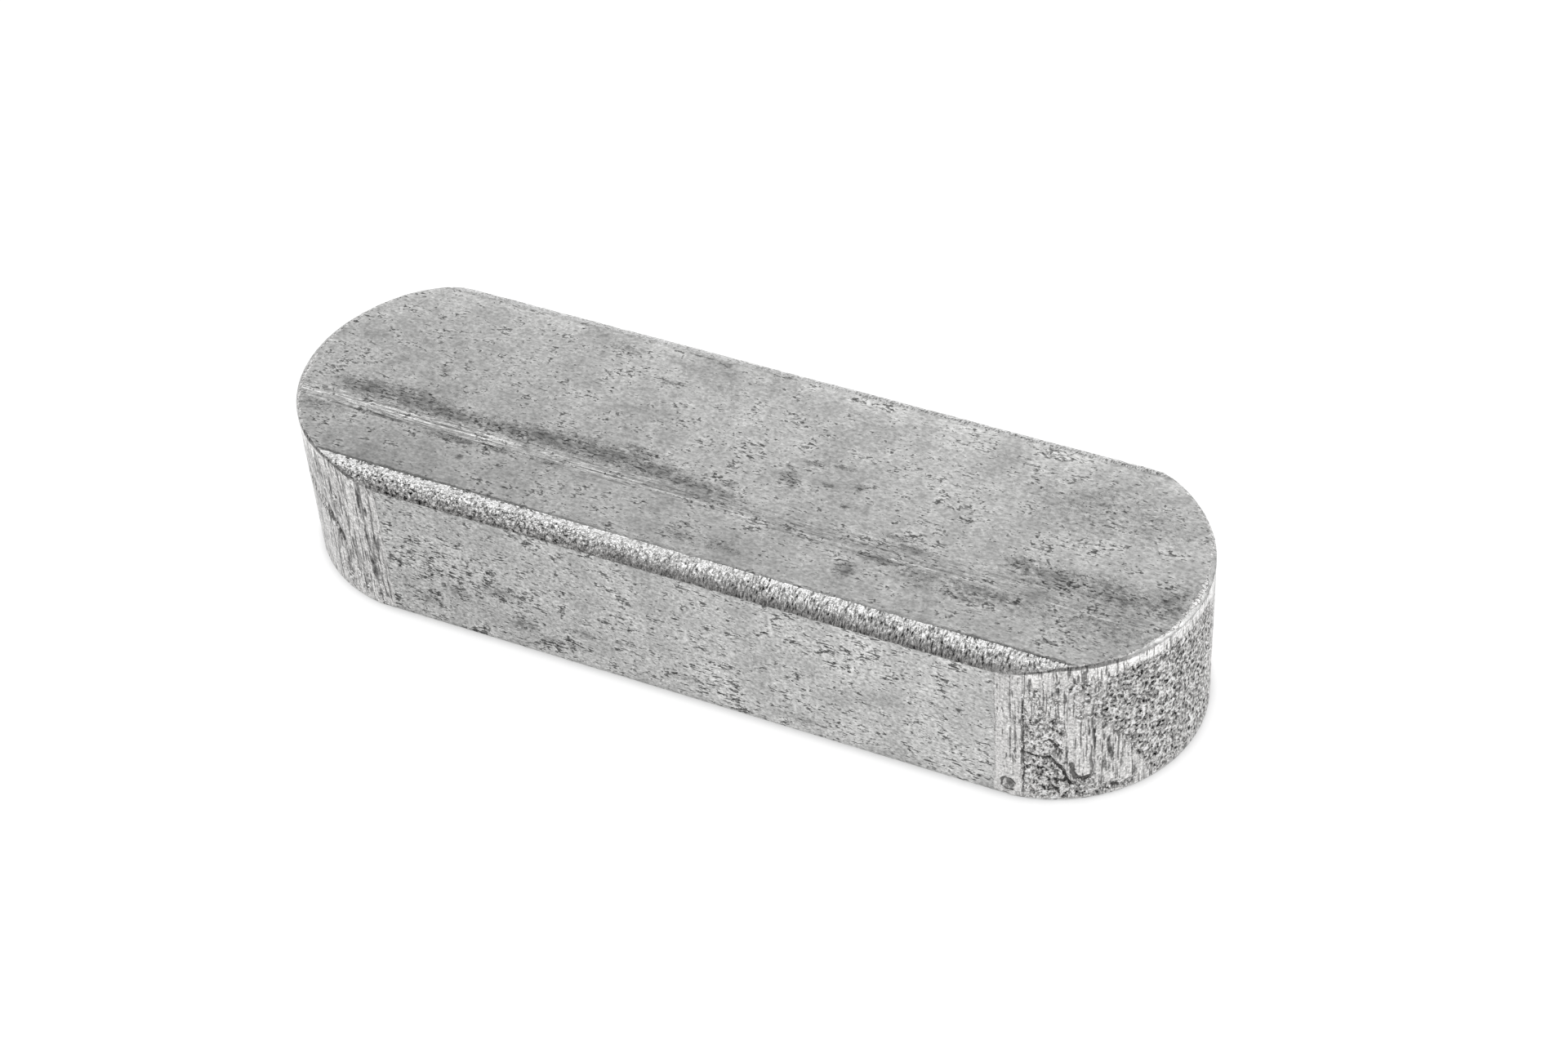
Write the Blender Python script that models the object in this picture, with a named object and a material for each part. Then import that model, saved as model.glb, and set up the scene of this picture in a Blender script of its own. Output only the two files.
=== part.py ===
"""Parallel key with two round ends, punched from cold-drawn key bar.

The key lies flat on its bottom face. X runs along it, Y across it and Z up, and the
origin is the centre of the bottom face. The near right end, at +X, is the torn one.
"""

import math

import bmesh
import bpy
from mathutils import Matrix, Vector, noise

# Size of the key, in metres
LENGTH = 0.063
WIDTH = 0.020
HEIGHT = 0.012

# Upper long corners: drawing leaves them unfilled, so they are crowned free surfaces
CORNER_ACROSS = 0.00128
CORNER_DOWN = 0.00108
CORNER_CROWN = 0.00019

# Lower long corners, which the die fills almost square
FOOT_CORNER = 0.00030
FOOT_CROWN = 0.00008

# Scores that picked-up metal in the die has drawn along the top face
SCORE_FROM_AXIS = 0.0037
SCORE_PITCH = 0.0008
SCORE_COUNT = 2
SCORE_WIDTH = 0.00028
SCORE_DEPTH = 0.00003

# Rim of the round ends, rolled over on top and broken at the foot
RIM_ROLL = 0.00022
FOOT_RIM = 0.00012

# Hollow torn out of the near right end, between its burnished strips
HOLLOW_ANGLE = math.radians(20)
HOLLOW_HEIGHT = 0.0024
HOLLOW_ACROSS = 0.0038
HOLLOW_TALL = 0.0040
HOLLOW_DEPTH = 0.00028

# Chip beside it, at the foot of the front flank
CHIP_ANGLE = math.radians(4.5)
CHIP_HEIGHT = 0.0011
CHIP_ACROSS = 0.0009
CHIP_TALL = 0.0010
CHIP_DEPTH = 0.00030

# Unevenness of a torn surface, as a share of its depth, and the size of its lumps
TEAR_UNEVEN = 0.35
TEAR_LUMP = 0.0007

# Fineness of the model
CORNER_STEPS = 10
FOOT_STEPS = 3
END_STEPS = 48
TEAR_DIVISIONS = 4
SHARP_ANGLE = math.radians(9)

# How far a cutting shape reaches past the bar
CUT_PAST = 0.002

STEEL_COLOUR = (0.50, 0.50, 0.50, 1.0)
STEEL_ROUGHNESS = 0.42


def clear_scene():
    """Remove every object that the scene starts with."""
    for obj in list(bpy.data.objects):
        bpy.data.objects.remove(obj, do_unlink=True)


def new_object(name, bm):
    """Turn a bmesh into an object of this name, with its faces pointing out."""
    bmesh.ops.recalc_face_normals(bm, faces=bm.faces)
    mesh = bpy.data.meshes.new(name)
    bm.to_mesh(mesh)
    bm.free()
    obj = bpy.data.objects.new(name, mesh)
    bpy.context.scene.collection.objects.link(obj)
    return obj


def crowned(start, end, crown, steps):
    """Points of the circular arc from start to end that stands crown above its chord.

    The arc bulges to the right of the way from start to end.
    """
    start = Vector(start)
    end = Vector(end)
    chord = end - start
    half = chord.length / 2
    along = chord.normalized()
    outward = Vector((along.y, -along.x))
    radius = (half**2 + crown**2) / (2 * crown)
    reach = math.asin(min(1.0, half / radius))
    centre = (start + end) / 2 + outward * (crown - radius)
    turns = (reach * (2 * step / steps - 1) for step in range(steps + 1))
    return [centre + radius * (along * math.sin(t) + outward * math.cos(t)) for t in turns]


def score_groove(middle):
    """The three points of one drawn groove in the top face, from +Y to -Y."""
    half = SCORE_WIDTH / 2
    return [
        Vector((middle + half, HEIGHT)),
        Vector((middle, HEIGHT - SCORE_DEPTH)),
        Vector((middle - half, HEIGHT)),
    ]


def bar_section():
    """Outline of the drawn bar in the YZ plane, anticlockwise seen from +X."""
    flank = WIDTH / 2
    outline = crowned((-flank, FOOT_CORNER), (-flank + FOOT_CORNER, 0), FOOT_CROWN, FOOT_STEPS)
    outline += crowned((flank - FOOT_CORNER, 0), (flank, FOOT_CORNER), FOOT_CROWN, FOOT_STEPS)
    shoulder = HEIGHT - CORNER_DOWN
    border = flank - CORNER_ACROSS
    outline += crowned((flank, shoulder), (border, HEIGHT), CORNER_CROWN, CORNER_STEPS)
    for index in range(SCORE_COUNT):
        outline += score_groove(-SCORE_FROM_AXIS - index * SCORE_PITCH)
    outline += crowned((-border, HEIGHT), (-flank, shoulder), CORNER_CROWN, CORNER_STEPS)
    return outline


def drawn_bar():
    """A length of the bar that reaches past both ends of the key."""
    bm = bmesh.new()
    start = -LENGTH / 2 - CUT_PAST
    end_face = bm.faces.new([bm.verts.new((start, y, z)) for y, z in bar_section()])
    pulled = bmesh.ops.extrude_face_region(bm, geom=[end_face])["geom"]
    moved = [item for item in pulled if isinstance(item, bmesh.types.BMVert)]
    bmesh.ops.translate(bm, verts=moved, vec=(LENGTH + 2 * CUT_PAST, 0, 0))
    return new_object("parallel_key", bm)


def end_centre():
    """How far from the middle of the key the centre of each round end lies."""
    return (LENGTH - WIDTH) / 2


def oblong(inset, height):
    """Outline of the punched key at this height, drawn in from its full size by inset."""
    radius = WIDTH / 2 - inset
    points = []
    for side, first in ((1, -math.pi / 2), (-1, math.pi / 2)):
        for step in range(END_STEPS + 1):
            angle = first + math.pi * step / END_STEPS
            points.append((side * end_centre() + radius * math.cos(angle), radius * math.sin(angle), height))
    return points


def punch():
    """The oblong that the ends are punched to, with both of its rims drawn in."""
    bm = bmesh.new()
    levels = (
        (FOOT_RIM + CUT_PAST, -CUT_PAST),
        (0, FOOT_RIM),
        (0, HEIGHT - RIM_ROLL),
        (RIM_ROLL + CUT_PAST, HEIGHT + CUT_PAST),
    )
    rings = [[bm.verts.new(point) for point in oblong(*level)] for level in levels]
    for lower, upper in zip(rings, rings[1:]):
        for index in range(len(lower)):
            bm.faces.new((lower[index - 1], lower[index], upper[index], upper[index - 1]))
    bm.faces.new(rings[0])
    bm.faces.new(rings[-1])
    return new_object("punch", bm)


def torn_out(name, angle, height, size):
    """A lumpy body to tear from the near right end.

    Its middle lies on the round surface, at this angle round from the front flank and
    this height, and size is its extent across, up and into the metal.
    """
    across, tall, depth = size
    bm = bmesh.new()
    bmesh.ops.create_icosphere(bm, subdivisions=TEAR_DIVISIONS, radius=1.0)
    shape = Matrix.Diagonal((across / 2, depth, tall / 2, 1.0))
    for vert in bm.verts:
        lump = noise.noise(shape @ vert.co / TEAR_LUMP)
        vert.co = shape @ (vert.co * (1 + TEAR_UNEVEN * lump))
    turn = Matrix.Rotation(angle, 4, "Z")
    middle = Vector((end_centre(), 0, height)) + turn @ Vector((0, -WIDTH / 2, 0))
    bm.transform(Matrix.Translation(middle) @ turn)
    return new_object(name, bm)


def cut(obj, tool, operation):
    """Add a Boolean of this kind to the object, and keep its tool out of the render."""
    tool.hide_render = True
    tool.display_type = "WIRE"
    boolean = obj.modifiers.new(tool.name, "BOOLEAN")
    boolean.operation = operation
    boolean.solver = "EXACT"
    boolean.object = tool


def steel():
    """Bare cold-drawn steel, a satin mid grey."""
    material = bpy.data.materials.new("drawn_steel")
    material.use_nodes = True
    surface = material.node_tree.nodes["Principled BSDF"]
    surface.inputs["Base Color"].default_value = STEEL_COLOUR
    surface.inputs["Metallic"].default_value = 1.0
    surface.inputs["Roughness"].default_value = STEEL_ROUGHNESS
    return material


def finish(obj):
    """Keep the cut shape as the object's own mesh, shaded smooth between its true edges."""
    graph = bpy.context.evaluated_depsgraph_get()
    mesh = bpy.data.meshes.new_from_object(obj.evaluated_get(graph))
    mesh.name = obj.name
    obj.modifiers.clear()
    obj.data = mesh
    mesh.shade_smooth()
    mesh.set_sharp_from_angle(angle=SHARP_ANGLE)
    mesh.materials.clear()
    mesh.materials.append(steel())


def main():
    """Draw the bar, punch its ends round and tear the near right one."""
    clear_scene()
    key = drawn_bar()
    cut(key, punch(), "INTERSECT")
    hollow_size = (HOLLOW_ACROSS, HOLLOW_TALL, HOLLOW_DEPTH)
    cut(key, torn_out("hollow", HOLLOW_ANGLE, HOLLOW_HEIGHT, hollow_size), "DIFFERENCE")
    chip_size = (CHIP_ACROSS, CHIP_TALL, CHIP_DEPTH)
    cut(key, torn_out("chip", CHIP_ANGLE, CHIP_HEIGHT, chip_size), "DIFFERENCE")
    finish(key)


main()
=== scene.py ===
"""Studio scene of a parallel key: an oblong bar of cold-drawn steel with punched round ends.

Lengths are in millimetres until a mesh is written, and the mesh is in metres. X runs along
the key, Y across it from the front flank to the back one, and Z up from its bottom face.
"""

import itertools
import logging
import math
from dataclasses import dataclass
from enum import Enum
from typing import Any, NamedTuple

import bmesh
import bpy
import numpy as np
from mathutils import Matrix, Vector


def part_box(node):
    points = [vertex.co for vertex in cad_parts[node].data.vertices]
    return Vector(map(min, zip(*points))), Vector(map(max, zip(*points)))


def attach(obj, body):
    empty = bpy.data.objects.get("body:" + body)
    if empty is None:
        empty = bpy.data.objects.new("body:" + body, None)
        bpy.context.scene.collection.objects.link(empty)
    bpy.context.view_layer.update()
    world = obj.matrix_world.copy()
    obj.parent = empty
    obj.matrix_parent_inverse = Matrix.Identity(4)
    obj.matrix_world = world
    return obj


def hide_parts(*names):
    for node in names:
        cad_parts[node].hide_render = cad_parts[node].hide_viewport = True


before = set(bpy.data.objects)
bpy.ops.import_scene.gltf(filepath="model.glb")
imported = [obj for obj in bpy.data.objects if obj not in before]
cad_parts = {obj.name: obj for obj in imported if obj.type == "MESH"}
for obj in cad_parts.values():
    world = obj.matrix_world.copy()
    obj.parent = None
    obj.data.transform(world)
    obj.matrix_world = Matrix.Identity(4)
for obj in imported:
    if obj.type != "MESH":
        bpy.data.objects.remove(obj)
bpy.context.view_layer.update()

log = logging.getLogger("parallel_key")

MM = 0.001  # One millimetre, in metres
READ = ("corner", "punched", "torn", "crevice")  # What the finish reads at the mesh's points
Numbers = np.ndarray
Path = tuple[tuple[float, float], ...]
Place = tuple[float, float, float]


# Tools shared by the pieces


def linear(hex_colour: str) -> tuple[float, float, float, float]:
    """Turns an sRGB colour into Blender's linear one.

    Args:
        hex_colour: The colour as "#rrggbb".

    Returns:
        Red, green, blue and alpha, where alpha is 1.
    """
    shares = [int(hex_colour[i : i + 2], 16) / 255 for i in (1, 3, 5)]
    parts = [s / 12.92 if s <= 0.04045 else ((s + 0.055) / 1.055) ** 2.4 for s in shares]
    return (*parts, 1.0)


def ramp(value: Numbers, low: float, high: float) -> Numbers:
    """A smooth step: 0 up to low, 1 from high on, and 3t^2 - 2t^3 in between."""
    t = np.clip((value - low) / (high - low), 0.0, 1.0)
    return t * t * (3 - 2 * t)


def put(name: str, data: bpy.types.ID) -> bpy.types.Object:
    """Puts a mesh, a camera or a lamp in the scene.

    Args:
        name: Name of its object.
        data: The mesh, camera or lamp.

    Returns:
        The object.
    """
    piece = bpy.data.objects.new(name, data)
    bpy.context.scene.collection.objects.link(piece)
    return piece


def distance_to(path: Path, x: Numbers, y: Numbers) -> Numbers:
    """Distance of points from a path of straight stretches.

    Each stretch is a + t (b - a) with t from 0 to 1, and a point's distance is the least.

    Args:
        path: The path.
        x: First coordinates of the points.
        y: Second coordinates of the points.

    Returns:
        The distances, in the shape of the points.
    """
    least = np.full(np.broadcast(x, y).shape, np.inf)
    for (ax, ay), (bx, by) in itertools.pairwise(path):
        dx, dy = bx - ax, by - ay
        t = np.clip(((x - ax) * dx + (y - ay) * dy) / (dx * dx + dy * dy), 0.0, 1.0)
        least = np.minimum(least, np.hypot(x - ax - t * dx, y - ay - t * dy))
    return least


def depth_in(path: Path, x: Numbers, y: Numbers) -> Numbers:
    """How far inside a closed path points lie, and how far outside it where negative.

    The size is the distance from the path, and a point is inside where a line from it in
    the direction of x crosses the path an odd number of times.

    Args:
        path: The path.
        x: First coordinates of the points.
        y: Second coordinates of the points.

    Returns:
        The depths, in the shape of the points.
    """
    closed = (*path, path[0])
    inside = np.zeros(np.broadcast(x, y).shape, bool)
    for (ax, ay), (bx, by) in itertools.pairwise(closed):
        if ay != by:
            meets = ax + (y - ay) * (bx - ax) / (by - ay)
            inside ^= ((ay > y) != (by > y)) & (x < meets)
    away = distance_to(closed, x, y)
    return np.where(inside, away, -away)


class Lumps:
    """Smooth random relief in space, the same at each run.

    It is gradient noise: each whole-number point holds a random slope, and a value is the
    blend of the eight slopes round it, eased by 6t^5 - 15t^4 + 10t^3.
    """

    SLOPES = 256
    GAIN = 1.6  # Brings the values to about -1 to 1

    def __init__(self, seed: int) -> None:
        """Draws the slopes.

        Args:
            seed: Number of this relief, so that two reliefs differ.
        """
        drawn = np.random.default_rng(seed)
        self.order = drawn.permutation(self.SLOPES)
        slopes = drawn.normal(size=(self.SLOPES, 3))
        self.slopes = slopes / np.linalg.norm(slopes, axis=1, keepdims=True)

    def at(self, x: Numbers, y: Numbers, z: Numbers | float, size: float) -> Numbers:
        """The relief at points of any shape of array.

        Args:
            x: First coordinates, in mm.
            y: Second coordinates, in mm.
            z: Third coordinates, in mm.
            size: Distance between neighbouring lumps, in mm.

        Returns:
            Values of about -1 to 1, in the shape of the points.
        """
        points = np.stack(np.broadcast_arrays(x, y, z), axis=-1) / size
        cell = np.floor(points).astype(int)
        part = points - cell
        ease = part**3 * (part * (part * 6 - 15) + 10)
        total = np.zeros(points.shape[:-1])
        last = self.SLOPES - 1
        for corner in itertools.product((0, 1), repeat=3):
            at = cell + corner
            chosen = self.order[at[..., 0] & last]
            chosen = self.order[(chosen + at[..., 1]) & last]
            chosen = self.order[(chosen + at[..., 2]) & last]
            share = np.where(corner, ease, 1 - ease).prod(axis=-1)
            total += share * ((part - corner) * self.slopes[chosen]).sum(axis=-1)
        return total * self.GAIN


# The steel's form


@dataclass(frozen=True)
class CrownedCorner:
    """A long corner of the drawn bar: an arc between its border on the flank and on a face."""

    across: float  # How far the corner reaches in from the flank
    down: float  # How far it reaches from the face
    crown: float  # How far the arc stands above its chord

    @property
    def radius(self) -> float:
        """Radius of the arc, (h^2 + c^2) / 2c for half chord h and crown c."""
        half = math.hypot(self.across, self.down) / 2
        return (half**2 + self.crown**2) / (2 * self.crown)

    @property
    def middle(self) -> tuple[float, float]:
        """Centre of the arc, measured in from the flank and in from the face."""
        chord = math.hypot(self.across, self.down)
        back = self.radius - self.crown
        return (
            self.across / 2 + back * self.down / chord,
            self.down / 2 + back * self.across / chord,
        )

    @property
    def turns(self) -> tuple[float, float]:
        """Lean of the arc's normal from upright, at the face's border and at the flank's."""
        inward, _ = self.middle
        return (
            math.asin((inward - self.across) / self.radius),
            math.asin(inward / self.radius),
        )

    def drop(self, inset: Numbers) -> Numbers:
        """How far the surface lies below the face.

        Args:
            inset: Distance in from the flank.

        Returns:
            The depths, 0 past the corner.
        """
        inward, below = self.middle
        reach = np.clip(inward - inset, 0.0, self.radius)
        depth = below - np.sqrt(self.radius**2 - reach**2)
        return np.where(inset < self.across, np.maximum(depth, 0.0), 0.0)

    def lean(self, inset: Numbers) -> Numbers:
        """Lean of the surface's normal from upright.

        Args:
            inset: Distance in from the flank.

        Returns:
            The angles in radians, 0 past the corner.
        """
        inward, _ = self.middle
        reach = np.clip((inward - inset) / self.radius, 0.0, 1.0)
        return np.where(inset < self.across, np.arcsin(reach), 0.0)

    def insets(self, steps: int) -> Numbers:
        """Places at equal turns of the arc, from the flank's border on.

        Args:
            steps: Number of steps between the two borders.

        Returns:
            Their distances in from the flank.
        """
        low, high = self.turns
        inward, _ = self.middle
        return inward - self.radius * np.sin(np.linspace(high, low, steps + 1))


class Zone(Enum):
    """Which surface of the key a row of the mesh lies on."""

    FOOT = "foot"
    WALL = "wall"
    TOP = "top"


class Rows(NamedTuple):
    """The rows of the mesh, from the middle of the bottom face to the middle of the top."""

    zone: Numbers  # Surface that each row lies on
    place: Numbers  # Distance in from the outline, or on the wall the share of its height
    coarse: Numbers  # Whether the row has every second column only
    crease: Numbers  # Whether the row is a true edge of the metal


@dataclass(frozen=True)
class Crack:
    """A crack or deep crevice in a punched end."""

    path: Path  # Its points, as distance round the end and height
    width: float  # Distance from its middle at which it has all but closed
    depth: float  # How deep it is in the middle


@dataclass(frozen=True)
class TornPatch:
    """A patch of torn metal in a punched end."""

    path: Path  # Its border, as distance round the end and height
    scatter: float = 1.0  # How much of it is torn: 0 is half of it, and 1 is all of it


@dataclass(frozen=True)
class PunchedEnd:
    """Relief of one round end, by distance round it from the front flank and height."""

    seed: int  # Number of its random relief
    patches: tuple[TornPatch, ...] = ()  # Patches of torn metal
    cracks: tuple[Crack, ...] = ()  # Cracks and deep crevices
    hangs: bool = False  # Whether the metal below the first crack lies deeper
    # Middle of a round chip, its radius and its depth
    chip: tuple[float, float, float, float] | None = None
    step: Path | None = None  # Path of a ragged step, above which the metal lies a little deeper
    step_depth: float = 0.0  # How deep the metal lies there
    grooves: float = 0.0  # Depth of the upright tool grooves

    def torn(self, around: Numbers, height: Numbers) -> Numbers:
        """How far inside torn metal a point lies, in mm, and negative outside it.

        It is the most of what the patches give: each one's depth within its border, which
        wanders with a relief, or the value of another relief that leaves islands in it.

        Args:
            around: Distance round the end from the front flank.
            height: Height above the bottom face.

        Returns:
            The depths, within -1 to 1.
        """
        lumps = Lumps(self.seed)
        wander = 0.28 * lumps.at(around, height, 0.0, 1.2) + 0.20 * lumps.at(around, height, 9.0, 0.45)
        islands = 0.6 * lumps.at(around, height / 1.6, 21.0, 0.6)
        torn = np.full(around.shape, -1.0)
        for patch in self.patches:
            within = depth_in(patch.path, around, height) + wander
            torn = np.maximum(torn, np.minimum(within, islands + patch.scatter))
        return np.clip(torn, -1.0, 1.0)

    def sway(self, around: Numbers, height: Numbers) -> Numbers:
        """How far a crack wanders from its path, in mm."""
        return 0.10 * Lumps(self.seed + 2).at(around, height, 13.0, 0.5)

    def crevice(self, around: Numbers, height: Numbers) -> Numbers:
        """Distance from the nearest crack as a share of its width.

        Args:
            around: Distance round the end from the front flank.
            height: Height above the bottom face.

        Returns:
            The shares, up to 3.
        """
        sway = self.sway(around, height)
        least = np.full(around.shape, 3.0)
        for crack in self.cracks:
            away = distance_to(crack.path, around + sway, height - sway) / crack.width
            least = np.minimum(least, away)
        return least

    def relief(self, around: Numbers, height: Numbers) -> Numbers:
        """How far the end stands out from the punched round, in mm.

        Torn metal lies deeper and is lumpy at three sizes. A crack is a groove that closes
        as exp(-(d/w)^2) with the distance d from it, and its lower lip lies deeper.

        Args:
            around: Distance round the end from the front flank.
            height: Height above the bottom face.

        Returns:
            The relief, negative where the metal lies deeper.
        """
        lumps = Lumps(self.seed + 1)
        torn = ramp(self.torn(around, height), -0.10, 0.20)
        big = lumps.at(around, height, 0.0, 0.95)
        middling = lumps.at(around, height, 5.0, 0.50)
        small = lumps.at(around, height, 9.0, 0.28)
        surface = -torn * (0.075 - 0.045 * big - 0.085 * middling - 0.065 * small)
        sway = self.sway(around, height)
        for crack in self.cracks:
            away = distance_to(crack.path, around + sway, height - sway)
            surface -= crack.depth * np.exp(-((away / crack.width) ** 2))
        if self.hangs:
            ledge = self.cracks[0].path
            start, stop = ledge[0][0], ledge[-1][0]
            under = np.interp(around, *zip(*ledge)) - height
            beside = ramp(around, start - 0.05, start + 0.05) * (1 - ramp(around, stop, stop + 0.4))
            surface -= 0.06 * beside * ramp(under, 0.0, 0.5) * (1 - ramp(under, 1.2, 3.6))
        if self.chip:
            beside, up, radius, depth = self.chip
            away = np.hypot(around - beside, height - up) + 0.6 * sway
            surface -= depth * (1 - ramp(away, radius * 0.6, radius))
        if self.step:
            start, stop = self.step[0][0], self.step[-1][0]
            above = height - np.interp(around, *zip(*self.step)) + 0.15 * small
            past = ramp(around, start - 0.3, start + 0.3) * (1 - ramp(around, stop - 2.0, stop))
            past *= ramp(above, -0.05, 0.10) * (1 - ramp(above, 0.6, 2.2))
            surface -= self.step_depth * past
        groove = Lumps(self.seed + 2).at(around, height / 18, 0.0, 0.50)
        return surface - self.grooves * np.abs(groove)


# Borders of torn patches and paths of cracks, as distance round the end and height
FIELD = (
    (7.3, 10.7), (6.9, 9.6), (6.6, 8.6), (6.55, 7.6), (6.75, 6.7), (7, 6.3), (7.25, 6.45),
    (7.55, 5.9), (8.1, 4.7), (8.7, 3.9), (9.4, 2.5), (10.1, 0.9), (10.6, 0.45), (17.6, 0.45),
    (18.5, 1.8), (17.5, 3.2), (16.8, 4.6), (17.4, 5.6), (16.7, 7), (17.9, 8.2), (17.2, 9.4),
    (16.2, 10.9), (12, 10.9), (9, 10.95),
)
HOLLOW = (
    (1.83, 4.2), (2.3, 4), (2.95, 3.8), (3.5, 3.85), (3.85, 3.4), (4.2, 2.95), (4.5, 2.2),
    (4.75, 1.75), (5.3, 1.8), (6.1, 1.9), (6.2, 1.3), (7.8, 1.1), (9.2, 0.9), (9, 0.3),
    (4, 0.2), (1.83, 0.3),
)
SHOULDER = ((1.83, 4), (1.83, 7.5), (3.4, 7.6), (4.2, 7.2), (4.3, 6.2), (4.25, 4.6), (4, 3.6))
LEDGE = (
    (1.8, 4.25), (2.3, 4.05), (2.95, 3.85), (3.5, 3.9), (3.85, 3.4), (4.2, 3), (4.45, 2.3),
    (4.6, 1.75), (4.9, 1.25),
)
CHIP_RING = (
    (1.2, 0.62), (0.8, 0.55), (0.46, 0.8), (0.4, 1.3), (0.66, 1.66), (1.06, 1.62), (1.26, 1.3),
)
LEFT_TIP = (
    (9.2, 0.4), (9.9, 2.4), (9.5, 4.2), (10.8, 5.2), (12.2, 5.6), (13.4, 7.6), (15.4, 8.4),
    (17.4, 7.2), (19.2, 7.9), (21.2, 6.2), (23, 5.4), (22.4, 3), (24.2, 0.4),
)
RIGHT_END = PunchedEnd(
    seed=7,
    patches=(
        TornPatch(FIELD),
        TornPatch(HOLLOW, 0.4),
        TornPatch(SHOULDER, 0.16),
        TornPatch(((1.83, 7.3), (1.83, 9.4), (2.6, 10.1), (4.3, 10.4), (4.3, 7)), -0.06),
        TornPatch(((4.4, 10.5), (5, 8.2), (5, 7.4), (6.9, 7.1), (7.4, 10.7)), 0.03),
        TornPatch(((16.6, 1), (16.9, 9.8), (18.8, 9.2), (20.6, 6), (22.6, 3.4), (21, 0.8)), -0.04),
    ),
    cracks=(
        Crack(LEDGE, 0.14, 0.22),
        Crack(((4.85, 3.2), (4.9, 2.5), (5.1, 2), (5.5, 1.8), (5.95, 1.95)), 0.2, 0.22),
        Crack(((3.9, 1.75), (4.2, 1.62), (4.6, 1.6)), 0.15, 0.18),
        Crack(((3.6, 1.4), (3.95, 1), (4.1, 0.55)), 0.1, 0.14),
        Crack(((3.45, 5.5), (3.75, 5.2), (4.1, 4.4)), 0.12, 0.12),
        Crack(((3.6, 6.5), (4.25, 6)), 0.08, 0.1),
        Crack(((1.87, 4.4), (1.88, 6.5), (1.86, 8.9)), 0.04, 0.06),
        Crack(((1.9, 3.6), (1.88, 2), (1.9, 0.9)), 0.04, 0.06),
        Crack(((-0.25, 0.45), (0.4, 0.3), (0.9, 0.3)), 0.06, 0.06),
        Crack(((7.5, 0.75), (7.8, 0.62)), 0.18, 0.15),
        Crack(((6.75, 6.2), (7, 6.45)), 0.1, 0.12),
        Crack(CHIP_RING, 0.085, 0.08),
    ),
    hangs=True,
    chip=(0.8, 1.12, 0.46, 0.2),
    grooves=0.012,
)
LEFT_END = PunchedEnd(
    seed=23,
    patches=(
        TornPatch(((3, 5.6), (3.2, 10.4), (6.4, 10.2), (6.2, 6.6), (4.6, 5.4)), -0.2),
        TornPatch(((0.8, 0.5), (1, 3), (4.6, 3.4), (4.8, 0.5)), -0.22),
        TornPatch(LEFT_TIP, 0.45),
    ),
    cracks=(
        Crack(((3.9, 4.5), (4.2, 5.1), (4.9, 5.9), (5.4, 6.6), (6.2, 7)), 0.13, 0.12),
        Crack(((3.2, 3.7), (3.6, 4.4), (4, 5)), 0.07, 0.06),
    ),
    step=((3.7, 4), (4.3, 5), (5, 5.9), (5.8, 6.2), (7.2, 7), (9, 7.6)),
    step_depth=0.12,
    grooves=0.035,
)


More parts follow.
